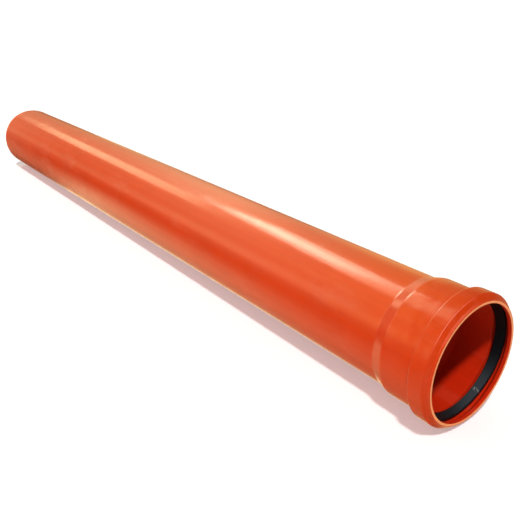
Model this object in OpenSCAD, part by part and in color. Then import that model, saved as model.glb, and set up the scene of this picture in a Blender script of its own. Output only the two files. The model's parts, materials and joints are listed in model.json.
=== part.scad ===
// Push-fit sewer pipe of PVC-U. One end is a plain spigot with a bevel. The other is belled out into
// a socket, and the bead near its mouth is a groove on the inside, which holds a rubber sealing ring.
//
// Frame: millimetres, +Z up. The pipe lies on a level floor, on its bead and on its spigot's end, so
// its axis slopes by less than half a degree. The origin is on the floor, under the middle of the
// pipe. +X runs along the pipe to the mouth of the socket.

/* [Pipe] */
// Outside diameter of the barrel and its spigot
pipe_od = 110; // [75:1:200]
// Wall of the barrel and of the socket
wall = 3.3; // [2.4:0.1:6]
// Length that the pipe adds to a run, from its spigot's end to where the next spigot stops
laying_length = 1000; // [250:10:3000]
// Length of the bevel on the spigot's end
bevel_length = 7; // [3:0.5:10]
// Drop of the bevel from the spigot's surface to its end
bevel_drop = 1.9; // [0.8:0.1:2.1]

/* [Socket] */
// Gap all round between a spigot and the socket's bore
socket_gap = 0.3; // [0.15:0.05:0.8]
// Depth from the mouth to where a spigot stops
socket_depth = 59.5; // [55:0.5:140]
// Length of the cone from the socket down to the barrel
cone_length = 11.4; // [8:0.2:20]
// Rounding of the cone's two bends
cone_rounding = 10; // [2:1:20]
// Rounding on the outer edge of the mouth
mouth_rounding = 0.8; // [0.2:0.1:1.2]
// Bevel on the inner edge of the mouth
mouth_bevel = 0.3; // [0.1:0.1:1]

/* [Bead] */
// Length of the plain lip between the mouth and the groove
lip_length = 3.4; // [2.4:0.1:6]
// Depth of the groove, which is the rise of the bead
groove_depth = 4.2; // [3.4:0.1:6]
// Length along the pipe of the groove's front slope
front_slope = 3.4; // [2:0.1:5]
// Length of the groove's floor
groove_floor = 11; // [8:0.1:20]
// Length along the pipe of the groove's back slope
back_slope = 2; // [1.4:0.1:5]
// Rounding of the bead's two outer edges
bead_rounding = 1.6; // [0.3:0.1:2]
// Rounding of the bend at the foot of each slope
foot_rounding = 0.9; // [0.3:0.1:2]

/* [Sealing ring] */
// Gap all round between a spigot and the ring, whose lip is pressed back
ring_gap = 0.15; // [0.1:0.05:0.3]
// Gap between the ring and the walls of its groove
seat_gap = 0.1; // [0.05:0.05:0.3]
// Thickness of the ring's lip
lip_thickness = 1.3; // [0.8:0.1:1.6]
// Width of the hollow between the lip and the ring's body
hollow_width = 0.9; // [0.5:0.1:1.2]
// Length of that hollow
hollow_length = 8; // [3:0.2:9]
// Rounding of the ring's edges
ring_rounding = 0.4; // [0.1:0.1:0.6]

/* [Hidden] */

$fn = 96;
ARC_STEPS = 5;

PIPE_ORANGE = "#d8481e";
RUBBER_BLACK = "#1c1c1f";

pipe_r = pipe_od / 2;
bore_r = pipe_r - wall;
bevel_r = pipe_r - bevel_drop;
socket_bore_r = pipe_r + socket_gap;
socket_r = socket_bore_r + wall;
groove_r = socket_bore_r + groove_depth;
bead_r = groove_r + wall;
ring_bore_r = pipe_r + ring_gap;

// Stations along the pipe count from the mouth, at 0, to the spigot's end.
total_length = laying_length + socket_depth;
groove_start = lip_length + front_slope;
groove_end = groove_start + groove_floor;
slope_end = groove_end + back_slope;

// A spigot stops where its bevelled end meets the cone.
cone_start = socket_depth - cone_length * (socket_bore_r - bevel_r) / (socket_bore_r - bore_r);
cone_end = cone_start + cone_length;

// --- outlines: lists of [station, radius], and of corners [station, radius, rounding] -------------

// The corner's place, and the unit vector from one place to another.
function place(corner) = [corner[0], corner[1]];
function heading(from, to) = (place(to) - place(from)) / norm(place(to) - place(from));

// The points of the arc that rounds one corner. The rounding is limited to what the shorter of the
// two stretches beside it has room for.
function rounded_corner(before, corner, after) =
    let (
        u = heading(corner, before),
        v = heading(corner, after),
        half_angle = acos(max(-1, min(1, u * v))) / 2,
        room = min(norm(place(before) - place(corner)), norm(place(after) - place(corner))) / 2,
        rounding = min(corner[2], room * tan(half_angle) * 0.98)
    )
    rounding < 0.01 || half_angle > 89.9 ? [place(corner)] :
    let (
        centre = place(corner) + (u + v) / norm(u + v) * rounding / sin(half_angle),
        start = place(corner) + u * rounding / tan(half_angle) - centre,
        first = atan2(start[1], start[0]),
        turn = (180 - 2 * half_angle) * sign(u[1] * v[0] - u[0] * v[1])
    )
    [for (i = [0 : ARC_STEPS])
        centre + rounding * [cos(first + turn * i / ARC_STEPS), sin(first + turn * i / ARC_STEPS)]];

function rounded(corners) =
    let (n = len(corners))
    [for (i = [0 : n - 1])
        each rounded_corner(corners[(i + n - 1) % n], corners[i], corners[(i + 1) % n])];

// The corner that lies outside the middle one of three, where the wall is as thick on both its sides.
function outside(before, corner, after) =
    let (
        u = heading(before, corner),
        v = heading(corner, after),
        side = [-u[1] - v[1], u[0] + v[0]]
    )
    place(corner) + side * wall / (1 + u * v);

// The pipe's inner surface from its mouth to its spigot's end: [station, radius, rounding inside,
// rounding outside]. The first and the last lie past the ends, and only give the wall its direction.
inner_line = [
    [-1, socket_bore_r],
    [lip_length, socket_bore_r, 0.5, foot_rounding],
    [groove_start, groove_r, 0.8, bead_rounding],
    [groove_end, groove_r, 0.8, bead_rounding],
    [slope_end, socket_bore_r, 0.5, foot_rounding],
    [cone_start, socket_bore_r, cone_rounding, cone_rounding],
    [cone_end, bore_r, cone_rounding, cone_rounding],
    [total_length + 1, bore_r],
];
bends = [1 : len(inner_line) - 2];

inner_corners = concat(
    [[0, socket_bore_r + mouth_bevel, 0], [mouth_bevel, socket_bore_r, 0]],
    [for (i = bends) [inner_line[i][0], inner_line[i][1], inner_line[i][2]]],
    [[total_length, bore_r, 0]]
);

outer_bends = [for (i = bends)
    concat(outside(inner_line[i - 1], inner_line[i], inner_line[i + 1]), inner_line[i][3])];

outer_corners = concat(
    [[total_length, bevel_r, 0], [total_length - bevel_length, pipe_r, 0]],
    [for (i = [len(outer_bends) - 1 : -1 : 0]) outer_bends[i]],
    [[0, socket_r, mouth_rounding]]
);

// The sealing ring's section: its body fills the groove, and its lip lies back along the bore,
// parted from the body by a hollow that is open towards the barrel.
front_turn = atan2(groove_depth, front_slope);
back_turn = atan2(groove_depth, back_slope);
lip_top_r = ring_bore_r + lip_thickness;
hollow_top_r = lip_top_r + hollow_width;
ring_outer_r = groove_r - seat_gap;

// Station of the ring's front or back face at a radius, which keeps the gap to the groove's slope.
function front_face(r) =
    groove_start - (groove_r - r) / tan(front_turn) + seat_gap / sin(front_turn);
function back_face(r) =
    groove_end + (groove_r - r) / tan(back_turn) - seat_gap / sin(back_turn);

lip_tip = back_face(hollow_top_r) - hollow_width;
ring_corners = [
    [front_face(ring_bore_r), ring_bore_r, ring_rounding],
    [lip_tip, ring_bore_r, ring_rounding],
    [lip_tip, lip_top_r, ring_rounding],
    [lip_tip - hollow_length, lip_top_r, ring_rounding],
    [lip_tip - hollow_length, hollow_top_r, ring_rounding],
    [back_face(hollow_top_r), hollow_top_r, ring_rounding],
    [back_face(ring_outer_r), ring_outer_r, ring_rounding],
    [front_face(ring_outer_r), ring_outer_r, ring_rounding],
];

// --- how it lies ----------------------------------------------------------------------------------

// It touches the floor with the back edge of its bead, and with its barrel just behind the bevel.
bead_contact = outer_bends[2][0] - bead_rounding * tan(back_turn / 2);
rest_slope = atan2(bead_r - pipe_r, total_length - bevel_length - bead_contact);
axis_height = bead_r * cos(rest_slope) - (total_length / 2 - bead_contact) * sin(rest_slope);
end_shift = (bevel_r - socket_r + mouth_rounding) / 2 * sin(rest_slope);

// Turns an outline about the pipe's axis and lays it down.
module turned(outline) {
    translate([end_shift, 0, axis_height])
        rotate([0, 90 - rest_slope, 0])
            rotate_extrude()
                polygon([for (p = outline) [p[1], total_length / 2 - p[0]]]);
}

// --- sub-parts ------------------------------------------------------------------------------------

module pipe() {
    color(PIPE_ORANGE)
        turned(rounded(concat(inner_corners, outer_corners)));
}

module sealing_ring() {
    color(RUBBER_BLACK)
        turned(rounded(ring_corners));
}

pipe();
sealing_ring();
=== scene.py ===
# %% [markdown]
# # A push-fit sewer pipe and its sealing ring
#
# The object is a stock length of orange-brown sewer pipe. It has two pieces: the pipe itself, one
# extruded tube of PVC-U whose end was warmed and belled out into a socket, and a black rubber ring
# that sits in the groove inside the socket's bead. Both are bodies of revolution, so the lesson
# turns outlines into meshes. It then spends its time on what makes plastic and rubber look real:
# edges with a radius, cut faces that differ from the extruded skin, a gloss that varies, and a room
# whose reflections run along the pipe.

import json
import math

import bmesh
import bpy
from mathutils import Matrix, Vector


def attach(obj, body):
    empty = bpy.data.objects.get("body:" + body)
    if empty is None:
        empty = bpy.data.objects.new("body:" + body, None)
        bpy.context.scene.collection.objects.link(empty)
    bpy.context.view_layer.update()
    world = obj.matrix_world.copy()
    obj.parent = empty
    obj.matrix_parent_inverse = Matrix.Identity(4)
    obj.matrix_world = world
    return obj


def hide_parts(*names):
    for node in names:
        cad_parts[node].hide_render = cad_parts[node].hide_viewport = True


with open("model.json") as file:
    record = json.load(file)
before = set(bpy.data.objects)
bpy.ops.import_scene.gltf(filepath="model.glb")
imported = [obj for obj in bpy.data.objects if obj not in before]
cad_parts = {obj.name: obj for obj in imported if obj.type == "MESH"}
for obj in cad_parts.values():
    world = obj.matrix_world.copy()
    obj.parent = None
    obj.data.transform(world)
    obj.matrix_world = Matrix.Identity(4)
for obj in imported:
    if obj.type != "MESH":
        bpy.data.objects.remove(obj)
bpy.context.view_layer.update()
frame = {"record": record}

# %% [markdown]
# ## Where the pipe lies
#
# The CAD record says where the socket's bore is and which way it points. Everything here is built
# from the pipe's own axes: the origin in the middle of the mouth, x out of the mouth along the
# pipe's axis, z up. A place on the pipe is then given as a maker gives it, by its station behind
# the mouth, its radius and its angle round the pipe, in millimetres and degrees. The pipe lies on
# its bead and on its spigot's end, so those axes slope a little against the floor. Each mesh is
# turned on to them, which leaves its object at the origin, as the CAD part's own objects are.

# %% The pipe's own axes
MM = 0.001

mounts = {mount["name"]: mount for mount in frame["record"]["mounts"]}
axis_x = Vector(mounts["socket"]["axis"]).normalized()
axis_y = Vector((0, 1, 0))
axis_z = axis_x.cross(axis_y)
bore_point = Vector(mounts["socket"]["pos_m"])
rim_point = Vector(mounts["mouth_rim"]["pos_m"])
mouth = bore_point + axis_x * (rim_point - bore_point).dot(axis_x)

pipe_axes = Matrix.Translation(mouth) @ Matrix((axis_x, axis_y, axis_z)).transposed().to_4x4()
print("mouth at", [round(v, 4) for v in mouth])
print("slope in degrees", round(math.degrees(math.asin(axis_x.z)), 3))

# %% [markdown]
# ## The camera
#
# The pipe is seen from beyond its mouth, from a little above, with a normal lens from close by, so
# that the near end looks more than twice as large as the far end. The camera is placed from the
# mouth, and turned to a compass angle and a tilt, and a small shift of the lens frames the pipe.
# A track-to constraint on an empty would aim it too, but two angles are easier to keep. It comes
# first, because the lights are placed for the reflections that it sees.

# %% Camera
CAMERA_FROM_MOUTH = Vector((0.2436, -0.4185, 0.3057))
CAMERA_AZIMUTH = 51.86
CAMERA_TILT = 22.70
LENS = 43.7
FILM_WIDTH = 36.0
SHIFT_ACROSS = -0.0044
SHIFT_UP = -0.0458
NEAREST_SEEN = 0.01
FURTHEST_SEEN = 200

camera_data = bpy.data.cameras.new("camera")
camera_data.lens = LENS
camera_data.sensor_width = FILM_WIDTH
camera_data.shift_x = SHIFT_ACROSS
camera_data.shift_y = SHIFT_UP
camera_data.clip_start = NEAREST_SEEN
camera_data.clip_end = FURTHEST_SEEN
camera = bpy.data.objects.new("camera", camera_data)
camera.location = mouth + CAMERA_FROM_MOUTH
camera.rotation_euler = (math.radians(90 - CAMERA_TILT), 0, math.radians(CAMERA_AZIMUTH))
bpy.context.scene.collection.objects.link(camera)
bpy.context.scene.camera = camera
print("camera", round(CAMERA_FROM_MOUTH.length, 3), "m from the mouth")

# %% [markdown]
# ## Outlines with real edges
#
# Nothing that leaves a factory has a perfectly sharp edge, and a highlight runs along each small
# radius. An outline here is a list of corners, each with a station, a radius and a rounding, and
# each corner becomes an arc. Beside the arc a support point is added, a fraction of a millimetre
# away, so that smooth shading turns over the arc and stays flat over the long stretch next to it.
# A bevel modifier would round the edges too, but it can't give each corner its own rounding as
# plainly.

# %% One rounded corner
ARC_STEPS = 8
SUPPORT = 0.25
LEAST_SUPPORT = 0.02
NEARLY_STRAIGHT = 89.9
MOST_OF_THE_ROOM = 0.98
MOST_OF_THE_REST = 0.9


def corner_points(before, corner, after):
    """The support points and the arc that round one corner. An arc and its support keep to their
    own half of the shorter stretch beside the corner."""
    here = Vector(corner[:2])
    u = Vector(before[:2]) - here
    v = Vector(after[:2]) - here
    room = min(u.length, v.length) / 2
    u.normalize()
    v.normalize()
    half_angle = u.angle(v) / 2
    if corner[2] == 0 or half_angle > math.radians(NEARLY_STRAIGHT):
        return [here]
    reach = min(corner[2] / math.tan(half_angle), room * MOST_OF_THE_ROOM)
    centre = here + (u + v).normalized() * reach / math.cos(half_angle)
    start = here + u * reach - centre
    finish = here + v * reach - centre
    turn = start.angle_signed(finish)
    arc = []
    for i in range(ARC_STEPS + 1):
        spoke = start.copy()
        spoke.rotate(Matrix.Rotation(-turn * i / ARC_STEPS, 2))
        arc.append(centre + spoke)
    support = min(SUPPORT, (room - reach) * MOST_OF_THE_REST)
    if support > LEAST_SUPPORT:
        arc.insert(0, here + u * (reach + support))
        arc.append(here + v * (reach + support))
    return arc


print("a rounded corner has", len(corner_points((9, 0), (0, 0, 1), (0, 9))), "points")

# %% [markdown]
# ## A whole outline
#
# A section through the wall of a tube is one closed loop, so the last corner's neighbour is the
# first one. Python's index of -1 gives the corner before the first, and the remainder of a division
# gives the one after the last. A curve object with vector handles could hold the same loop, but
# plain lists of numbers are easier to measure and to divide.

# %% The outline of a list of corners


def rounded_outline(corners):
    """A closed outline of (station, radius) points."""
    points = []
    for i, corner in enumerate(corners):
        before = corners[i - 1]
        after = corners[(i + 1) % len(corners)]
        points += [(p.x, p.y) for p in corner_points(before, corner, after)]
    return points


square = [(0, 0, 1), (9, 0, 1), (9, 9, 1), (0, 9, 1)]
print("a square with rounded corners has", len(rounded_outline(square)), "points")

# %% [markdown]
# ## The pipe's sizes
#
# The numbers are those of the CAD part, and the radii that the record states are read from it. The
# socket's bore takes a spigot with 0.3 mm to spare all round. Further in, a cone leads down to the
# barrel's bore, and a spigot's bevelled end stops where it meets that cone.

# %% Sizes of the pipe, in millimetres
SOCKET_BORE_R = mounts["socket"]["dims"]["r_mm"]
PIPE_R = mounts["spigot"]["dims"]["r_mm"]
BORE_R = mounts["flow_bore"]["dims"]["r_mm"]
WALL = PIPE_R - BORE_R

LAYING_LENGTH = 1000
SOCKET_DEPTH = 59.5
PIPE_LENGTH = LAYING_LENGTH + SOCKET_DEPTH
BEVEL_LENGTH = 7.0
BEVEL_DROP = 1.9
CONE_LENGTH = 11.4
LIP_LENGTH = 3.4
GROOVE_DEPTH = 4.2
FRONT_SLOPE = 3.4
GROOVE_FLOOR = 11.0
BACK_SLOPE = 2.0

GROOVE_R = SOCKET_BORE_R + GROOVE_DEPTH
groove_start = LIP_LENGTH + FRONT_SLOPE
groove_end = groove_start + GROOVE_FLOOR
slope_end = groove_end + BACK_SLOPE
stop_share = (SOCKET_BORE_R - PIPE_R + BEVEL_DROP) / (SOCKET_BORE_R - BORE_R)
cone_start = SOCKET_DEPTH - CONE_LENGTH * stop_share
cone_end = cone_start + CONE_LENGTH
print("pipe length", PIPE_LENGTH, "and bead radius", round(GROOVE_R + WALL, 2))

# %% [markdown]
# ## The pipe's inner line
#
# The inner surface is the one that matters to a fitter, so it is drawn first: lip, groove, the
# socket's sleeve, the cone and the barrel's bore. The first and the last point lie past the ends,
# and only give the wall its direction. Each bend has one rounding on the inside of the wall and
# another on the outside. A solidify modifier on a single surface would give the wall its
# thickness, but drawing both lines lets the outer bends be rounder than the inner ones, as they
# are where warm plastic is blown over a metal core.

# %% Inner line: station, radius, rounding inside and rounding outside
FOOT_ROUNDINGS = (0.5, 0.9)
BEAD_ROUNDINGS = (0.8, 1.6)
CONE_ROUNDINGS = (10, 10)
NO_ROUNDINGS = (0, 0)
PAST_THE_END = 1

inner_line = [
    (-PAST_THE_END, SOCKET_BORE_R, *NO_ROUNDINGS),
    (LIP_LENGTH, SOCKET_BORE_R, *FOOT_ROUNDINGS),
    (groove_start, GROOVE_R, *BEAD_ROUNDINGS),
    (groove_end, GROOVE_R, *BEAD_ROUNDINGS),
    (slope_end, SOCKET_BORE_R, *FOOT_ROUNDINGS),
    (cone_start, SOCKET_BORE_R, *CONE_ROUNDINGS),
    (cone_end, BORE_R, *CONE_ROUNDINGS),
    (PIPE_LENGTH + PAST_THE_END, BORE_R, *NO_ROUNDINGS),
]
bends = range(1, len(inner_line) - 1)
print("the inner line has", len(bends), "bends")

# %% [markdown]
# ## The pipe's outer line
#
# The outer surface follows the inner one at the thickness of the wall, because belling bends the
# wall and hardly thins it. So each outer bend lies one wall outside its inner twin, on the line
# that halves the bend. The two lines are then joined at the mouth, whose trimmed edges are
# slightly rounded, and at the spigot's end, where the bevel was turned.

# %% All the pipe's corners
MOUTH_BEVEL = 0.3
MOUTH_EDGE = 0.1
MOUTH_ROUNDING = 0.8
END_INNER_EDGE = 0.15
END_OUTER_EDGE = 0.25
BEVEL_ROUNDING = 2.0


def one_wall_out(before, corner, after):
    """The corner that lies one wall further out than the middle one of three."""
    u = (Vector(corner[:2]) - Vector(before[:2])).normalized()
    v = (Vector(after[:2]) - Vector(corner[:2])).normalized()
    side = Vector((-u.y - v.y, u.x + v.x))
    return Vector(corner[:2]) + side * WALL / (1 + u.dot(v))


pipe_corners = [
    (0, SOCKET_BORE_R + MOUTH_BEVEL, MOUTH_EDGE),
    (MOUTH_BEVEL, SOCKET_BORE_R, MOUTH_EDGE),
]
pipe_corners += [inner_line[i][:3] for i in bends]
pipe_corners += [
    (PIPE_LENGTH, BORE_R, END_INNER_EDGE),
    (PIPE_LENGTH, PIPE_R - BEVEL_DROP, END_OUTER_EDGE),
    (PIPE_LENGTH - BEVEL_LENGTH, PIPE_R, BEVEL_ROUNDING),
]
for i in reversed(bends):
    spot = one_wall_out(inner_line[i - 1], inner_line[i], inner_line[i + 1])
    pipe_corners.append((spot.x, spot.y, inner_line[i][3]))
pipe_corners.append((0, SOCKET_BORE_R + WALL, MOUTH_ROUNDING))
print("the pipe's outline has", len(pipe_corners), "corners")

# %% [markdown]
# ## Long stretches are divided
#
# The barrel is a metre of plain tube. Two rings of points would draw it, but its faces would then
# be slivers a metre long, and long slivers shade badly once they are cut into triangles. Points
# are added along each long stretch, as loop cuts would add them.

# %% Points along the long stretches
LONGEST_STEP = 25.0


def with_steps(points):
    """The outline with points added, so that no stretch is longer than the longest step."""
    dense = []
    for i, point in enumerate(points):
        ahead = points[(i + 1) % len(points)]
        steps = max(1, math.ceil(math.dist(point, ahead) / LONGEST_STEP))
        for k in range(steps):
            share = k / steps
            dense.append(tuple(a + (b - a) * share for a, b in zip(point, ahead)))
    return dense


pipe_outline = with_steps(rounded_outline(pipe_corners))
print("after rounding and dividing it has", len(pipe_outline), "points")

# %% [markdown]
# ## Turning an outline
#
# A screw modifier would turn the outline. Here a loop writes each ring of points and a second one
# fills the faces between two rings, so that each face can know which stretch of the outline it came
# from. That is how the cut faces get another finish than the skin. The angle starts on the camera's
# side of the pipe and goes up and over.

# %% Rings of points, and the faces between them


def place_on_axes(station, radius, angle):
    """A place in the pipe's own axes, in metres, from two lengths in millimetres and an angle."""
    return Vector((-station, -radius * math.cos(angle), radius * math.sin(angle))) * MM


def ring_of_points(maker, point, turns, moved):
    """One point of the outline, carried round the axis."""
    ring = []
    for k in range(turns):
        angle = 2 * math.pi * k / turns
        station, radius = moved(*point, math.degrees(angle)) if moved else point
        ring.append(maker.verts.new(place_on_axes(station, radius, angle)))
    return ring


def band_of_faces(maker, ring, ahead, finish):
    """The faces between two neighbouring rings, which share one finish."""
    for k in range(len(ring)):
        following = (k + 1) % len(ring)
        face = maker.faces.new((ring[k], ahead[k], ahead[following], ring[following]))
        face.smooth = True
        face.material_index = finish


top_of_barrel = pipe_axes @ place_on_axes(PIPE_LENGTH / 2, PIPE_R, math.pi / 2)
print("the top of the barrel, half way, is", round(top_of_barrel.z / MM, 1), "mm above the floor")

# %% [markdown]
# ## From an outline to a piece
#
# A bmesh holds the new points and faces, turns all normals outwards, and is then written into a
# mesh. Each vertex also keeps its place in the pipe's own axes as an attribute, because the
# patterns on the plastic run along the pipe, and the pipe doesn't lie level. An empty given as the
# texture's object could do that too, but an attribute travels with the mesh.

# %% Lathe


def turned(name, points, turns, finish_of=None, moved=None):
    """A closed outline of (station, radius) points, turned about the pipe's axis into a piece.
    finish_of gives the finish of a stretch, and moved shifts a point at an angle in degrees."""
    maker = bmesh.new()
    rings = [ring_of_points(maker, point, turns, moved) for point in points]
    for i, ring in enumerate(rings):
        following = (i + 1) % len(rings)
        finish = finish_of(points[i], points[following]) if finish_of else 0
        band_of_faces(maker, ring, rings[following], finish)
    bmesh.ops.recalc_face_normals(maker, faces=maker.faces)
    mesh = bpy.data.meshes.new(name)
    maker.to_mesh(mesh)
    maker.free()
    along = mesh.attributes.new("along_pipe", "FLOAT_VECTOR", "POINT")
    for vertex in mesh.vertices:
        along.data[vertex.index].vector = vertex.co
    mesh.transform(pipe_axes)
    piece = bpy.data.objects.new(name, mesh)
    bpy.context.scene.collection.objects.link(piece)
    print(name, len(mesh.polygons), "faces")
    return piece


# %% [markdown]
# ## Which surface gets which finish
#
# Four surfaces of the pipe look different. The skin came out of the die and the sizing sleeve. The
# rim is where the belled end was trimmed. The bevel and the spigot's end were cut on a turning
# head, which leaves pale, matt plastic; part of the rim's and the bevel's paleness below is painted
# light. The bore only touched air and the cooling mandrel, so it is duller than the skin, and its
# redder colour below is painted bounce light. In the editor one would select the faces and press
# Assign. Here a rule on station and radius does it, and still holds when a size changes.

# %% Pipe mesh
PIPE_TURNS = 256
SKIN = 0
RIM = 1
BORE = 2
BEVEL = 3
MARGIN = 0.05
RIM_WIDTH = 2.1


def pipe_finish(here, ahead):
    """The finish of the stretch of outline from one point to the next. The inner line runs away
    from the mouth and the outer line runs back, which tells the bore from the skin."""
    station = (here[0] + ahead[0]) / 2
    radius = (here[1] + ahead[1]) / 2
    if station < MARGIN and SOCKET_BORE_R + MARGIN < radius < SOCKET_BORE_R + RIM_WIDTH:
        return RIM
    if station > PIPE_LENGTH - BEVEL_LENGTH and radius > BORE_R + MARGIN:
        return BEVEL
    on_bore = ahead[0] > here[0] and MOUTH_BEVEL < station < PIPE_LENGTH - 2 * MARGIN
    return BORE if on_bore else SKIN


pipe = turned("pvc_pipe", pipe_outline, PIPE_TURNS, pipe_finish)
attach(pipe, "root")
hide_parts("pipe")

# %% [markdown]
# ## Colours
#
# Colours are picked as screen colours, in hex, and shaders need linear light, so one function
# converts them by the sRGB curve: a straight line near black, and a power above it. The colour
# picker does the same when a hex value is typed into it.

# %% Colour helper
STRAIGHT_BELOW = 0.04045
STRAIGHT_SLOPE = 12.92
CURVE_LIFT = 0.055
CURVE_POWER = 2.4


def linear(hex_colour, gain=1.0):
    """An sRGB hex colour as linear red, green, blue and alpha, made lighter or darker by a gain."""
    lit = []
    for i in (1, 3, 5):
        c = int(hex_colour[i:i + 2], 16) / 255
        straight = c / STRAIGHT_SLOPE
        curved = ((c + CURVE_LIFT) / (1 + CURVE_LIFT)) ** CURVE_POWER
        lit.append(min(1, gain * (straight if c <= STRAIGHT_BELOW else curved)))
    return (*lit, 1.0)


print("mid grey in linear light:", [round(c, 3) for c in linear("#808080")])

# %% [markdown]
# ## Nodes
#
# Every finish here is a small tree of nodes, worked out from the place on the pipe and without any
# picture file. One function adds a node with its settings, its ramp's stops and its links, which
# keeps a recipe to a line or two a step. The node editor does the same by hand. A noise at a scale
# of 1 changes about once a metre, so each pattern's scale is worked out from its real size.

# %% Node helpers


def add(tree, kind, settings=None, stops=(), **inputs):
    """A new node. settings are its properties, stops are a ramp's (place, colour) pairs, and
    inputs are values or other nodes' sockets, by name or by number, as in i0."""
    node = tree.nodes.new(kind)
    for key, value in (settings or {}).items():
        setattr(node, key, value)
    if stops:
        first, last = node.color_ramp.elements
        first.position, first.color = stops[0]
        last.position, last.color = stops[-1]
        for at, colour in stops[1:-1]:
            node.color_ramp.elements.new(at).color = colour
    for key, value in inputs.items():
        by_number = key[1:].isdigit()
        socket = node.inputs[int(key[1:])] if by_number else node.inputs[key.replace("_", " ")]
        if isinstance(value, bpy.types.NodeSocket):
            tree.links.new(value, socket)
        else:
            socket.default_value = value
    return node


def blank(name):
    """A material with an empty node tree, and its output."""
    material = bpy.data.materials.new(name)
    material.use_nodes = True
    tree = material.node_tree
    tree.nodes.clear()
    return material, tree, tree.nodes.new("ShaderNodeOutputMaterial")


def per_mm(size):
    """The scale of a pattern that changes about every so many millimetres."""
    return 1 / (size * MM)


print("a pattern of 5 mm has the scale", round(per_mm(5)))

# %% [markdown]
# ## The colour of extruded PVC-U
#
# Orange-brown sewer pipe is PVC-U, pigmented all through, pushed hot through a ring-shaped die and
# cooled in a sizing sleeve. To the eye it is an even, saturated colour, and looked at closely it
# isn't quite even: streaks of pigment about 5 mm apart run the whole length, and faint clouds are
# some 45 mm across. A noise that is stretched 250 times along the pipe gives the streaks. A wave
# texture would give straight stripes, which are too regular.

# %% Streaks and clouds of pigment
STREAK_SIZE = 5
STREAK_SQUEEZE = 0.004
CLOUD_SIZE = 45
TONE_SPREAD = 0.07
TONE_DARKEST = 0.3
TONE_LIGHTEST = 0.7


def die_streaks(tree, place):
    """A pattern of streaks that run along the pipe."""
    drawn = add(tree, "ShaderNodeMapping", Vector=place, Scale=(STREAK_SQUEEZE, 1, 1))
    streaks = add(tree, "ShaderNodeTexNoise", Vector=drawn.outputs[0], Scale=per_mm(STREAK_SIZE),
                  Detail=4.0)
    return streaks.outputs[0]


def pigmented(tree, place, streaks, colour):
    """The given colour, a little darker and lighter in streaks and clouds."""
    clouds = add(tree, "ShaderNodeTexNoise", Vector=place, Scale=per_mm(CLOUD_SIZE), Detail=3.0)
    tone = add(tree, "ShaderNodeMix", {"data_type": "FLOAT"}, i0=0.5, i2=streaks,
               i3=clouds.outputs[0])
    pigment = add(tree, "ShaderNodeValToRGB", Fac=tone.outputs[0],
                  stops=[(TONE_DARKEST, linear(colour, 1 - TONE_SPREAD)),
                         (TONE_LIGHTEST, linear(colour, 1 + TONE_SPREAD))])
    return pigment.outputs[0]


print("streaks are stretched", round(1 / STREAK_SQUEEZE), "times along the pipe")

# %% [markdown]
# ## Wear
#
# A pipe that has been stored and carried has scuffs, drawn out along it, where it slid over others
# in the rack, and dull patches some 18 mm across where hands held it. Both take gloss away, and a
# scuff is also slightly paler, since scratched plastic scatters light. Wear could be painted by
# hand on a texture. A noise that only counts above a threshold leaves most of the skin clean and
# needs no file.

# %% Scuffs and handled patches
SCUFF_SIZE = 26
SCUFF_SQUEEZE = 0.3
SCUFF_FROM = 0.55
SCUFF_FULL = 0.72
SCUFF_COLOUR = "#FFC8A0"
SCUFF_PALENESS = 0.04
SCUFF_DULLNESS = 0.08
PATCH_SIZE = 18
PATCH_FROM = 0.35
PATCH_FULL = 0.7
PATCH_DULLNESS = 0.06


def scuff_marks(tree, place):
    """0 on clean skin, and up to 1 in the middle of a scuff."""
    slid = add(tree, "ShaderNodeMapping", Vector=place, Scale=(SCUFF_SQUEEZE, 1, 1)).outputs[0]
    rubs = add(tree, "ShaderNodeTexNoise", Vector=slid, Scale=per_mm(SCUFF_SIZE), Detail=7.0,
               Roughness=0.6)
    marks = add(tree, "ShaderNodeMapRange", Value=rubs.outputs[0], From_Min=SCUFF_FROM,
                From_Max=SCUFF_FULL)
    return marks.outputs[0]


def scuffed_colour(tree, scuffs, pigment):
    """The pigment's colour, paler in the scuffs."""
    pale = add(tree, "ShaderNodeMath", {"operation": "MULTIPLY"}, i0=scuffs, i1=SCUFF_PALENESS)
    skin = add(tree, "ShaderNodeMix", {"data_type": "RGBA"}, i0=pale.outputs[0], i6=pigment,
               i7=linear(SCUFF_COLOUR))
    return skin.outputs[2]


def worn_roughness(tree, place, scuffs, gloss):
    """The lowest roughness on clean skin, more where hands held it, and more again in scuffs."""
    grips = add(tree, "ShaderNodeTexNoise", Vector=place, Scale=per_mm(PATCH_SIZE), Detail=6.0)
    dull = add(tree, "ShaderNodeMapRange", Value=grips.outputs[0], From_Min=PATCH_FROM,
               From_Max=PATCH_FULL, To_Min=gloss, To_Max=gloss + PATCH_DULLNESS)
    rough = add(tree, "ShaderNodeMath", {"operation": "MULTIPLY_ADD"}, i0=scuffs,
                i1=SCUFF_DULLNESS, i2=dull.outputs[0])
    return rough.outputs[0]


print("a scuff is about", round(SCUFF_SIZE / SCUFF_SQUEEZE), "mm long and", SCUFF_SIZE, "mm wide")

# %% [markdown]
# ## Relief
#
# The die leaves lines a few thousandths of a millimetre deep, and the sizing sleeve leaves slow
# waves 14 mm across and under a tenth of a millimetre deep. Neither would show in an outline, so
# both are bump and not geometry: they only bend the highlights. The waves are three times as deep
# on the socket, which was heated again to be belled. A map range over the station blends from one
# depth to the other across the cone.

# %% Die lines and waves
WAVE_SIZE = 14
SOCKET_WAVES = 3.0
REHEATED_TO = 45
UNTOUCHED_FROM = 70


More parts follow.
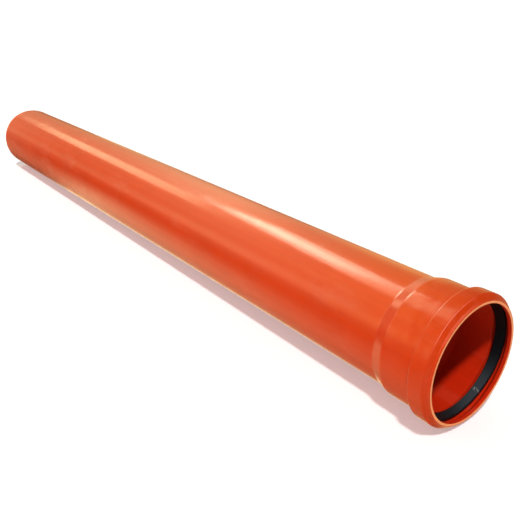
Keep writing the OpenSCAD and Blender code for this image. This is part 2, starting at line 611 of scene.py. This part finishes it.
def relief(tree, place, streaks, line_depth, wave_depth):
    """The bent normal. Both depths are in millimetres."""
    sleeve = add(tree, "ShaderNodeTexNoise", Vector=place, Scale=per_mm(WAVE_SIZE), Detail=1.0)
    behind_mouth = add(tree, "ShaderNodeSeparateXYZ", Vector=place).outputs[0]
    reheated = add(tree, "ShaderNodeMapRange", Value=behind_mouth,
                   From_Min=-UNTOUCHED_FROM * MM, From_Max=-REHEATED_TO * MM,
                   To_Min=1.0, To_Max=SOCKET_WAVES)
    hills = add(tree, "ShaderNodeMath", {"operation": "MULTIPLY"}, i0=sleeve.outputs[0],
                i1=reheated.outputs[0])
    waves = add(tree, "ShaderNodeBump", Height=hills.outputs[0], Strength=1.0,
                Distance=wave_depth * MM)
    die_lines = add(tree, "ShaderNodeBump", Height=streaks, Strength=1.0,
                    Distance=line_depth * MM, Normal=waves.outputs[0])
    return die_lines.outputs[0]


print("the waves fade to plain between", REHEATED_TO, "and", UNTOUCHED_FROM, "mm from the mouth")

# %% [markdown]
# ## The recipe for the pipe's plastic
#
# The parts come together in one shader. PVC-U has an index of about 1.53, and the principled
# shader works out from it how strong the clear reflection is. In the bore, which no sleeve has
# polished, the recipe weakens it with the specular level, which is set on the shader itself because
# it is the same all over a finish. A glossy shader mixed with a diffuse one would look alike, but
# then the mix would have to be worked out by hand.

# %% Extruded PVC-U
PVC_INDEX = 1.53


def extruded_pvc(name, colour, gloss, line_depth, wave_depth, shine=0.5):
    """gloss is the lowest roughness, the two depths are in millimetres, and shine is the strength
    of the clear reflection, where 0.5 is that of the index alone."""
    material, tree, output = blank(name)
    place = add(tree, "ShaderNodeAttribute", {"attribute_name": "along_pipe"}).outputs["Vector"]
    streaks = die_streaks(tree, place)
    scuffs = scuff_marks(tree, place)
    pigment = pigmented(tree, place, streaks, colour)
    surface = add(tree, "ShaderNodeBsdfPrincipled", IOR=PVC_INDEX, Specular_IOR_Level=shine,
                  Base_Color=scuffed_colour(tree, scuffs, pigment),
                  Roughness=worn_roughness(tree, place, scuffs, gloss),
                  Normal=relief(tree, place, streaks, line_depth, wave_depth))
    tree.links.new(surface.outputs[0], output.inputs[0])
    print(name, "with", len(tree.nodes), "nodes")
    return material


# %% [markdown]
# ## The pipe's four finishes
#
# The skin is glossy. The trimmed rim and the turned bevel are the same plastic with the skin gone:
# the blade smears it into a paler, matt surface, and their colours are paler still: partly a painted
# highlight on the rim and a painted reflection on the bevel. The bore's redder orange is painted
# bounce light, standing in for light that has bounced in it several times and lost its yellow each
# time. The bore is also matt, with hardly a reflection. The order of the slots is that of the
# numbers that the faces carry.

# %% Finishes of the pipe
pvc_skin = extruded_pvc("extruded PVC-U skin", "#CA380A", gloss=0.14, line_depth=0.006,
                        wave_depth=0.09)
# The rim's pale colour is partly its cut plastic and partly a painted highlight from the light
# above.
pvc_rim_and_highlight = extruded_pvc("trimmed PVC-U rim, partly painted highlight", "#FF9A5E", gloss=0.40, line_depth=0.02,
                       wave_depth=0.02)
# The bore's redder colour is painted bounce light; its low gloss and weak reflection are its own.
pvc_bore_and_bounce = extruded_pvc("extruded PVC-U bore, painted bounce light", "#C2260A", gloss=0.42, line_depth=0.01,
                        wave_depth=0.05, shine=0.2)
# The bevel's pale colour is partly its turned plastic and partly a painted reflection, the pale
# sheen at the far end.
pvc_bevel_and_reflection = extruded_pvc("turned PVC-U bevel, partly painted reflection", "#FBAE84", gloss=0.50, line_depth=0.02,
                         wave_depth=0.02)
for finish in (pvc_skin, pvc_rim_and_highlight, pvc_bore_and_bounce, pvc_bevel_and_reflection):
    pipe.data.materials.append(finish)

# %% [markdown]
# ## The sealing ring's section
#
# The ring is moulded as one endless profile, or cut from a cord and spliced. With no spigot in the
# socket its lip stands relaxed: it leans in and back, a cone of rubber whose tip is narrower than
# the pipe that will push it aside. Behind the lip is a hollow, and the body fills the groove. The
# corners go from the body's front along the lip to its tip, back through the hollow, and round the
# body's back. The same lathe makes it, with more turns, so that the splice can be as narrow as it
# is. A curve with a bevel object would sweep the section too, but it couldn't move single points.

# %% Section of the ring
SEAT = 0.1
RING_FRONT = 7.3
LIP_ROOT = (7.8, 55.9)
LIP_TIP = (14.9, 53.2)

ring_corners = [
    (RING_FRONT, GROOVE_R - SEAT, 0.4),
    (7.0, 56.6, 0.6),
    (*LIP_ROOT, 0.6),
    (*LIP_TIP, 0.4),
    (15.5, 53.7, 0.4),
    (10.4, 57.3, 0.5),
    (10.9, 58.4, 0.5),
    (16.6, 58.6, 0.3),
    (16.2, GROOVE_R - SEAT, 0.3),
]
ring_outline = with_steps(rounded_outline(ring_corners))
lip_tip_r = min(radius for station, radius in ring_outline)
print("the lip's tip stands", round(PIPE_R - lip_tip_r, 1), "mm in from a spigot's surface")

# %% [markdown]
# ## How the ring lies in its groove
#
# A ring is pushed in by hand and never sits quite evenly. This one's lower side has slipped a
# couple of millimetres back, so that a little of the groove's floor shows in front of it. The
# splice is a ridge less than a millimetre high across the lip. Both are small moves of the turned
# points. A shape key or a lattice could do the same by hand.

# %% Ring mesh
RING_TURNS = 720
SLIP = 2.4
SLIP_SHARE = 0.17
SPLICE_ANGLE = 237
SPLICE_HEIGHT = 0.25
SPLICE_WIDTH = 0.9
LIP_OUTER_R = 56.7


def as_it_lies(station, radius, angle):
    """Where a point of the ring goes: back, the more the lower it lies, and in along the splice."""
    lowness = max(0, -math.sin(math.radians(angle))) ** 2
    back = lowness * (SLIP - SLIP_SHARE * (station - RING_FRONT))
    ridge = SPLICE_HEIGHT * math.exp(-((angle - SPLICE_ANGLE) / SPLICE_WIDTH) ** 2)
    return station + back, radius - (ridge if radius < LIP_OUTER_R else 0)


ring = turned("rubber_ring", ring_outline, RING_TURNS, moved=as_it_lies)
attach(ring, "root")
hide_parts("sealing_ring")

# %% [markdown]
# ## The rubber and its bloom
#
# The ring is SBR, a rubber filled with carbon black. A polished steel mould gave its surface, which
# is smooth but far from glossy. To the eye it is a blue-black with a wide, faint sheen, because a
# bloom of wax comes to the surface as the ring ages. The bloom is uneven over about 12 mm, so one
# noise of that size sets both the black's tone and its roughness. Two noises would be as easy, but
# then the dull places wouldn't be the pale ones.

# %% Black rubber and its bloom
BLOOM_SIZE = 12
BARE_BLACK = "#020306"
BLOOM_BLACK = "#07090E"
RUBBER_GLOSS = 0.45
BLOOM_DULLNESS = 0.15

rubber, tree, output = blank("moulded SBR rubber")
place = add(tree, "ShaderNodeAttribute", {"attribute_name": "along_pipe"}).outputs["Vector"]
bloom = add(tree, "ShaderNodeTexNoise", Vector=place, Scale=per_mm(BLOOM_SIZE), Detail=4.0)
black = add(tree, "ShaderNodeValToRGB", Fac=bloom.outputs[0],
            stops=[(0.0, linear(BARE_BLACK)), (1.0, linear(BLOOM_BLACK))])
satin = add(tree, "ShaderNodeMapRange", Value=bloom.outputs[0], To_Min=RUBBER_GLOSS,
            To_Max=RUBBER_GLOSS + BLOOM_DULLNESS)
print("the bloom's scale is", round(per_mm(BLOOM_SIZE), 1))

# %% [markdown]
# ## Glue on the splice, and a painted glint
#
# A cord of rubber becomes a ring with a drop of glue, and a few specks of it stay beside the
# splice, shiny. Their grey colour is a painted glint, standing in for the light that the splice
# catches. A small mesh for each speck would be a lot of work for less than a square centimetre.
# Instead a mask of distance from the splice, broken up by a noise of 1.5 mm, sets both the painted
# grey and the gloss. The distance is measured in a space that is squeezed along the pipe, so that
# the specks follow the splice across the lip.

# %% Specks of glue, with a painted glint
SPLICE_SQUEEZE = 0.3
GLUE_AND_GLINT_CORE = 0.8
GLUE_AND_GLINT_REACH = 2.2
SPECK_SIZE = 1.5
SPECK_FROM = 0.48
SPECK_FULL = 0.58

splice_station = (LIP_ROOT[0] + LIP_TIP[0]) / 2
splice_r = (LIP_ROOT[1] + LIP_TIP[1]) / 2
splice_spot = place_on_axes(splice_station * SPLICE_SQUEEZE, splice_r, math.radians(SPLICE_ANGLE))
across = add(tree, "ShaderNodeMapping", Vector=place, Scale=(SPLICE_SQUEEZE, 1, 1))
away = add(tree, "ShaderNodeVectorMath", {"operation": "DISTANCE"}, i0=across.outputs[0],
           i1=splice_spot)
near = add(tree, "ShaderNodeMapRange", Value=away.outputs["Value"], From_Min=GLUE_AND_GLINT_CORE * MM,
           From_Max=GLUE_AND_GLINT_REACH * MM, To_Min=1.0, To_Max=0.0)
drops = add(tree, "ShaderNodeTexNoise", Vector=place, Scale=per_mm(SPECK_SIZE), Detail=2.0)
specks = add(tree, "ShaderNodeMapRange", Value=drops.outputs[0], From_Min=SPECK_FROM,
             From_Max=SPECK_FULL)
glue_and_painted_glint = add(tree, "ShaderNodeMath", {"operation": "MULTIPLY"}, i0=near.outputs[0],
           i1=specks.outputs[0]).outputs[0]
print("the splice lies", round(splice_station, 1), "mm in from the mouth")

# %% [markdown]
# ## The rubber's grain and its surface
#
# The mould's own grain is too fine to show at this distance, so it is drawn at 0.8 mm, coarser
# than the real one. A bump of a hundredth of a millimetre is enough to break up the sheen. The
# sheen is cooler than that of the plastic, which the specular tint gives. The index of SBR is
# about 1.52.

# %% Surface of the rubber
SBR_INDEX = 1.52
GRAIN_SIZE = 0.8
GRAIN_DEPTH = 0.01
# The specks' grey is a painted glint, the light that the splice catches.
PAINTED_GLINT_GREY = "#8C8C88"
GLUE_GLOSS = 0.3
SHEEN_TINT = "#A8BAD8"

# Painted glint: grey is mixed into the black at the specks; their lower roughness is the glue's own
# gloss.
colour = add(tree, "ShaderNodeMix", {"data_type": "RGBA"}, i0=glue_and_painted_glint, i6=black.outputs[0],
             i7=linear(PAINTED_GLINT_GREY))
rough = add(tree, "ShaderNodeMath", {"operation": "MULTIPLY_ADD"}, i0=glue_and_painted_glint, i1=-GLUE_GLOSS,
            i2=satin.outputs[0])
grain = add(tree, "ShaderNodeTexNoise", Vector=place, Scale=per_mm(GRAIN_SIZE), Detail=3.0)
bump = add(tree, "ShaderNodeBump", Height=grain.outputs[0], Strength=1.0,
           Distance=GRAIN_DEPTH * MM)
surface = add(tree, "ShaderNodeBsdfPrincipled", Base_Color=colour.outputs[2], IOR=SBR_INDEX,
              Roughness=rough.outputs[0], Normal=bump.outputs[0],
              Specular_Tint=linear(SHEEN_TINT))
tree.links.new(surface.outputs[0], output.inputs[0])
ring.data.materials.append(rubber)
print(rubber.name, "with", len(tree.nodes), "nodes")

# %% [markdown]
# ## The floor
#
# The pipe lies on a light table: a plain pale sheet of opal acrylic, matt on top and lit softly from
# below, which keeps the shadows pale. It is far larger than the pipe, so that its edges stay out of
# sight from any side. A curved sweep is the usual studio floor, but it has a front and a back, and
# this floor looks the same all round. The plastic isn't allowed to mirror it: what the pipe's
# underside mirrors is given with the room, further down.

# %% Floor sheet
FLOOR_HALF = 40.0

floor_mesh = bpy.data.meshes.new("floor")
corners = [(x * FLOOR_HALF, y * FLOOR_HALF, 0) for x, y in ((-1, -1), (1, -1), (1, 1), (-1, 1))]
floor_mesh.from_pydata(corners, [], [(0, 1, 2, 3)])
floor = bpy.data.objects.new("floor", floor_mesh)
bpy.context.scene.collection.objects.link(floor)
floor.visible_glossy = False
print("floor", 2 * FLOOR_HALF, "m wide")

# %% [markdown]
# ## Opal acrylic
#
# Opal acrylic is cast with a white filler, and sanded on one side so that it doesn't shine. To the
# eye it is a matt white with a little light of its own, so a diffuse shader and an emission are
# added. Lamps under a translucent sheet would be truer, but noisy and slow to render. The filler's
# clouds are about 300 mm across and very faint.

# %% Opal acrylic of the light table
FLOOR_GLOW = 0.3
FILLER_CLOUD = 300
FILLER_GREY = "#E0E0E0"
FILLER_WHITE = "#E3E3E3"

opal, tree, output = blank("matt opal acrylic")
place = add(tree, "ShaderNodeTexCoord").outputs["Object"]
clouds = add(tree, "ShaderNodeTexNoise", Vector=place, Scale=per_mm(FILLER_CLOUD), Detail=3.0)
sheet = add(tree, "ShaderNodeValToRGB", Fac=clouds.outputs[0],
            stops=[(0.0, linear(FILLER_GREY)), (1.0, linear(FILLER_WHITE))])
matt = add(tree, "ShaderNodeBsdfDiffuse", Color=sheet.outputs[0])
lamps = add(tree, "ShaderNodeEmission", Color=linear("#FFFFFF"), Strength=FLOOR_GLOW)
surface = add(tree, "ShaderNodeAddShader", i0=matt.outputs[0], i1=lamps.outputs[0])
tree.links.new(surface.outputs[0], output.inputs[0])
floor_mesh.materials.append(opal)
print(opal.name, "with", len(tree.nodes), "nodes")

# %% [markdown]
# ## The key light
#
# One key light comes from beyond the mouth, high and a little to the camera's side. It shines into
# the socket and draws the slanting edge of shadow there. A sun lamp lights the floor evenly, which
# a lamp nearby wouldn't, and its angle of a few degrees makes that edge soft. A sun's strength of
# pi lights white paper that faces it to plain white, and this one's level is a share of that. It
# only lights surfaces: its small, hard glint on the plastic is switched off, and large soft shapes
# take its place.

# %% Key light
KEY_WAY = Vector((0.348, -0.321, 0.881))
KEY_LEVEL = 0.77
KEY_SOFTNESS = 4.5

key_data = bpy.data.lights.new("key_light", "SUN")
key_data.energy = KEY_LEVEL * math.pi
key_data.angle = math.radians(KEY_SOFTNESS)
key = bpy.data.objects.new("key_light", key_data)
key.rotation_euler = (-KEY_WAY).to_track_quat("-Z", "Y").to_euler()
key.visible_glossy = False
bpy.context.scene.collection.objects.link(key)
print("key light", round(math.degrees(math.asin(KEY_WAY.normalized().z))), "degrees up")

# %% [markdown]
# ## Soft boxes
#
# The long streak on the pipe is the mirror image of lamps overhead. A softbox is a flat area light
# over the floor, about 2 m above the mouth, and its brightness is given as seen, with white paper
# as 1. A flat light spreads its power over pi times its area, so its power is worked out from the
# brightness, which then stays the same when the size changes. The near box has a brighter lamp in
# its middle, as a real one has, so the streak is brightest along its core. They don't light
# anything, they are only mirrored, which keeps the streak apart from the shading.

# %% Softboxes
NEAR_TINT = "#FFEFD0"
FAR_TINT = "#FFE6B4"


def softbox(name, from_mouth, size, turn, brightness, tint):
    """A flat light that faces down, turned by so many degrees about the vertical."""
    length, width = size
    data = bpy.data.lights.new(name, "AREA")
    data.shape = "RECTANGLE"
    data.size = length
    data.size_y = width
    data.energy = brightness * math.pi * length * width
    data.color = linear(tint)[:3]
    light = bpy.data.objects.new(name, data)
    light.location = mouth + Vector(from_mouth)
    light.rotation_euler = (0, 0, math.radians(turn))
    light.visible_diffuse = False
    bpy.context.scene.collection.objects.link(light)
    print(name, length, "by", width, "m")


softbox("near_softbox", (-2.11, 0.42, 2.0), size=(1.4, 1.0), turn=-26, brightness=5.0,
        tint=NEAR_TINT)
softbox("near_lamp", (-2.11, 0.42, 1.9), size=(1.2, 0.42), turn=-26, brightness=4.6,
        tint=NEAR_TINT)
softbox("door_softbox", (-1.35, -0.04, 2.0), size=(0.7, 0.68), turn=0, brightness=1.8,
        tint=FAR_TINT)
softbox("far_softbox", (-4.4, -0.03, 2.0), size=(2.7, 0.85), turn=-5, brightness=2.9,
        tint=FAR_TINT)

# %% [markdown]
# ## The room, as the pipe mirrors it
#
# A glossy cylinder mirrors the whole room, squeezed into bands that run along it. What a point of
# the pipe mirrors depends on two things: the angle round the pipe's axis, from the camera's side up
# and over, and how far along the axis the mirrored ray points, from 1 out of the mouth to -1 the
# other way. Both are worked out once from the direction of the ray. A panorama picture would be
# the usual way, but it would need a file.

# %% Two measures of each direction
world = bpy.data.worlds.new("studio room")
bpy.context.scene.world = world
world.use_nodes = True
tree = world.node_tree
tree.nodes.clear()
output = tree.nodes.new("ShaderNodeOutputWorld")

direction = add(tree, "ShaderNodeTexCoord").outputs["Generated"]
way = add(tree, "ShaderNodeSeparateXYZ", Vector=direction)
ahead = way.outputs[0]
front = add(tree, "ShaderNodeMath", {"operation": "MULTIPLY"}, i0=way.outputs[1], i1=-1.0)
turn = add(tree, "ShaderNodeMath", {"operation": "ARCTAN2"}, i0=way.outputs[2], i1=front.outputs[0])
round_axis = add(tree, "ShaderNodeMath", {"operation": "DEGREES"}, i0=turn.outputs[0]).outputs[0]
print("two measures of a direction, from", len(tree.nodes) - 1, "nodes")

# %% [markdown]
# ## One part of the room
#
# A ceiling or a wall is a band of light over some angles, and it fades over some of the way along.
# So each part of the room is the product of two colour ramps, one for each measure. Boxes with
# real lamps in them would be mirrored as well, but a ramp can be tuned one stop at a time. Ramps
# run from 0 to 1, so one small function moves the stops from degrees or shares to that range.

# %% A part of the room


def stops_of(low, high, pairs):
    """Ramp stops from (value, level) pairs, for values from low to high."""
    return [((value - low) / (high - low), (level, level, level, 1)) for value, level in pairs]


def room_part(tint, around, along):
    """Light from far away. Its level is a ramp over the angle times a ramp over the way along."""
    angle_share = add(tree, "ShaderNodeMapRange", Value=round_axis, From_Min=-180, From_Max=180)
    along_share = add(tree, "ShaderNodeMapRange", Value=ahead, From_Min=-1, From_Max=1)
    level_around = add(tree, "ShaderNodeValToRGB", Fac=angle_share.outputs[0],
                       stops=stops_of(-180, 180, around))
    level_along = add(tree, "ShaderNodeValToRGB", Fac=along_share.outputs[0],
                      stops=stops_of(-1, 1, along))
    level = add(tree, "ShaderNodeMath", {"operation": "MULTIPLY"},
                i0=level_around.outputs[0], i1=level_along.outputs[0])
    light = add(tree, "ShaderNodeBackground", Color=linear(tint), Strength=level.outputs[0])
    return light.outputs[0]


print("90 degrees is at", stops_of(-180, 180, [(90, 1)])[0][0], "of a ramp")

# %% [markdown]
# ## Ceiling and haze
#
# The ceiling is warm white boards, yellower over the mouth where they catch light from the floor,
# so it is given twice, in two tints. It starts a little above the camera's side, with two soft
# ridges where boards meet, and that edge is the long dark line that runs along the pipe's flank.
# Further along there is haze above the far end.

# %% Parts of the room overhead
CEILING = [(-180, 0), (-10, 0.03), (3, 0.45), (10, 1.0), (16, 2.1), (24, 2.5), (32, 1.9),
           (38, 1.5), (46, 1.8), (56, 2.1), (66, 1.9), (115, 1.9), (130, 1.5), (150, 0.9),
           (170, 0.75), (180, 0.75)]
YELLOW_ALONG = [(-1, 0), (-0.7, 0), (-0.54, 1), (-0.5, 0.45), (-0.46, 0.05), (1, 0.1)]
WARM_ALONG = [(-1, 0.2), (-0.93, 0.24), (-0.9, 0.32), (-0.86, 0.5), (-0.8, 0.85), (-0.74, 1),
              (-0.7, 1), (-0.54, 0), (1, 0)]
HAZE = [(-180, 0), (60, 0), (105, 1), (150, 1), (175, 0.3), (180, 0.3)]
HAZE_ALONG = [(-1, 0.3), (-0.93, 0.4), (-0.89, 0.45), (-0.85, 0.7), (-0.8, 1.1), (-0.755, 1.0),
              (-0.69, 0.25), (-0.6, 0.05), (-0.55, 0), (1, 0)]

overhead = [
    room_part("#FFD47A", CEILING, YELLOW_ALONG),
    room_part("#FFE2A6", CEILING, WARM_ALONG),
    room_part("#FFE6B4", HAZE, HAZE_ALONG),
]
print("brightest board of the ceiling:", max(level for angle, level in CEILING), "times white")

# %% [markdown]
# ## Walls and doorway
#
# The low wall on the camera's side gives the pale band under the dark line, and the wall behind
# gives the bright edge on top. There is dim light all over the wall at the far end. The doorway
# beyond the mouth gives the sheen on the ring's rubber and the thin line along the bead's front
# edge. All the parts are then added up, because each ray may meet several of them.

# %% Parts of the room round about
BACK_WALL = [(-180, 1.6), (-165, 1.6), (-145, 0.4), (-130, 0), (135, 0), (155, 0.7), (170, 1.6),
             (180, 1.6)]
BACK_WALL_ALONG = [(-1, 0), (-0.925, 0.1), (-0.91, 0.17), (-0.85, 0.1), (-0.81, 0), (-0.72, 0),
                   (-0.69, 0.05), (-0.6, 0.3), (-0.545, 0.42), (-0.49, 0.3), (-0.45, 0.2),
                   (-0.3, 0.1), (1, 0.05)]
LOW_WALL = [(-180, 0.5), (-140, 0.6), (-128, 2.2), (-118, 0.9), (-108, 0.6), (-85, 0.7),
            (-60, 1.05), (-39, 0.9), (-22, 0.3), (-10, 0.03), (5, 0), (180, 0)]
LOW_WALL_ALONG = [(-1, 0.1), (-0.93, 0.1), (-0.903, 0.2), (-0.888, 1.8), (-0.875, 1.5),
                  (-0.853, 1.2), (-0.8, 1.1), (-0.7, 0.95), (-0.63, 0.8), (-0.5, 0.55),
                  (-0.45, 0.5), (1, 0.1)]
FAR_END = [(-180, 0), (-90, 0.2), (-70, 0.4), (60, 0.4), (70, 0.25), (90, 0), (180, 0)]
FAR_END_ALONG = [(-1, 1.5), (-0.95, 1.3), (-0.935, 0.8), (-0.92, 0.1), (-0.91, 0), (1, 0)]
DOORWAY = [(-180, 0), (20, 0), (50, 5), (100, 5), (130, 1), (150, 0), (180, 0)]
DOORWAY_ALONG = [(-1, 0), (0.05, 0), (0.2, 1), (0.5, 1), (0.7, 0), (1, 0)]

round_about = [
    room_part("#FFD98C", BACK_WALL, BACK_WALL_ALONG),
    room_part("#FFE2AC", LOW_WALL, LOW_WALL_ALONG),
    room_part("#FFE6B4", FAR_END, FAR_END_ALONG),
    room_part("#FFF6E0", DOORWAY, DOORWAY_ALONG),
]
mirrored = overhead[0]
for part in overhead[1:] + round_about:
    mirrored = add(tree, "ShaderNodeAddShader", i0=mirrored, i1=part).outputs[0]
print("the room has", len(overhead + round_about), "parts")

# %% [markdown]
# ## What lights the pipe, and what the camera sees behind it
#
# The room's parts are only for mirror rays, as the softboxes are. Shading comes from a plain fill
# light, brightest low on the camera's side, which brings up the pipe's flank. The camera itself
# sees plain white beyond the floor's edge. The light path node tells the three kinds of ray apart.
# One room for all three would be simpler, but then a brighter wall would change the shading too.

# %% Fill and background
FILL = [(-180, 0.57), (-25, 0.57), (0, 1.45), (25, 1.15), (60, 0.55), (120, 0.55), (150, 0.85),
        (180, 0.92)]
FILL_ALONG = [(-1, 1), (-0.2, 1), (0.3, 0.3), (1, 0.3)]
BACKDROP_LEVEL = 1.2

fill = room_part("#FFF8EE", FILL, FILL_ALONG)
backdrop = add(tree, "ShaderNodeBackground", Color=linear("#FFFFFF"), Strength=BACKDROP_LEVEL)
ray = add(tree, "ShaderNodeLightPath")
lit = add(tree, "ShaderNodeMixShader", i0=ray.outputs["Is Glossy Ray"], i1=fill, i2=mirrored)
seen = add(tree, "ShaderNodeMixShader", i0=ray.outputs["Is Camera Ray"], i1=lit.outputs[0],
           i2=backdrop.outputs[0])
tree.links.new(seen.outputs[0], output.inputs[0])
print(world.name, "with", len(tree.nodes), "nodes")

# %% [markdown]
# ## From light to screen
#
# Blender's default view transform compresses bright light as film does, which would grey the white
# floor and dull the orange. The standard one shows each colour as it was picked, so the hex values
# above stay true.

# %% View transform
bpy.context.scene.view_settings.view_transform = "Standard"
print("view transform:", bpy.context.scene.view_settings.view_transform)
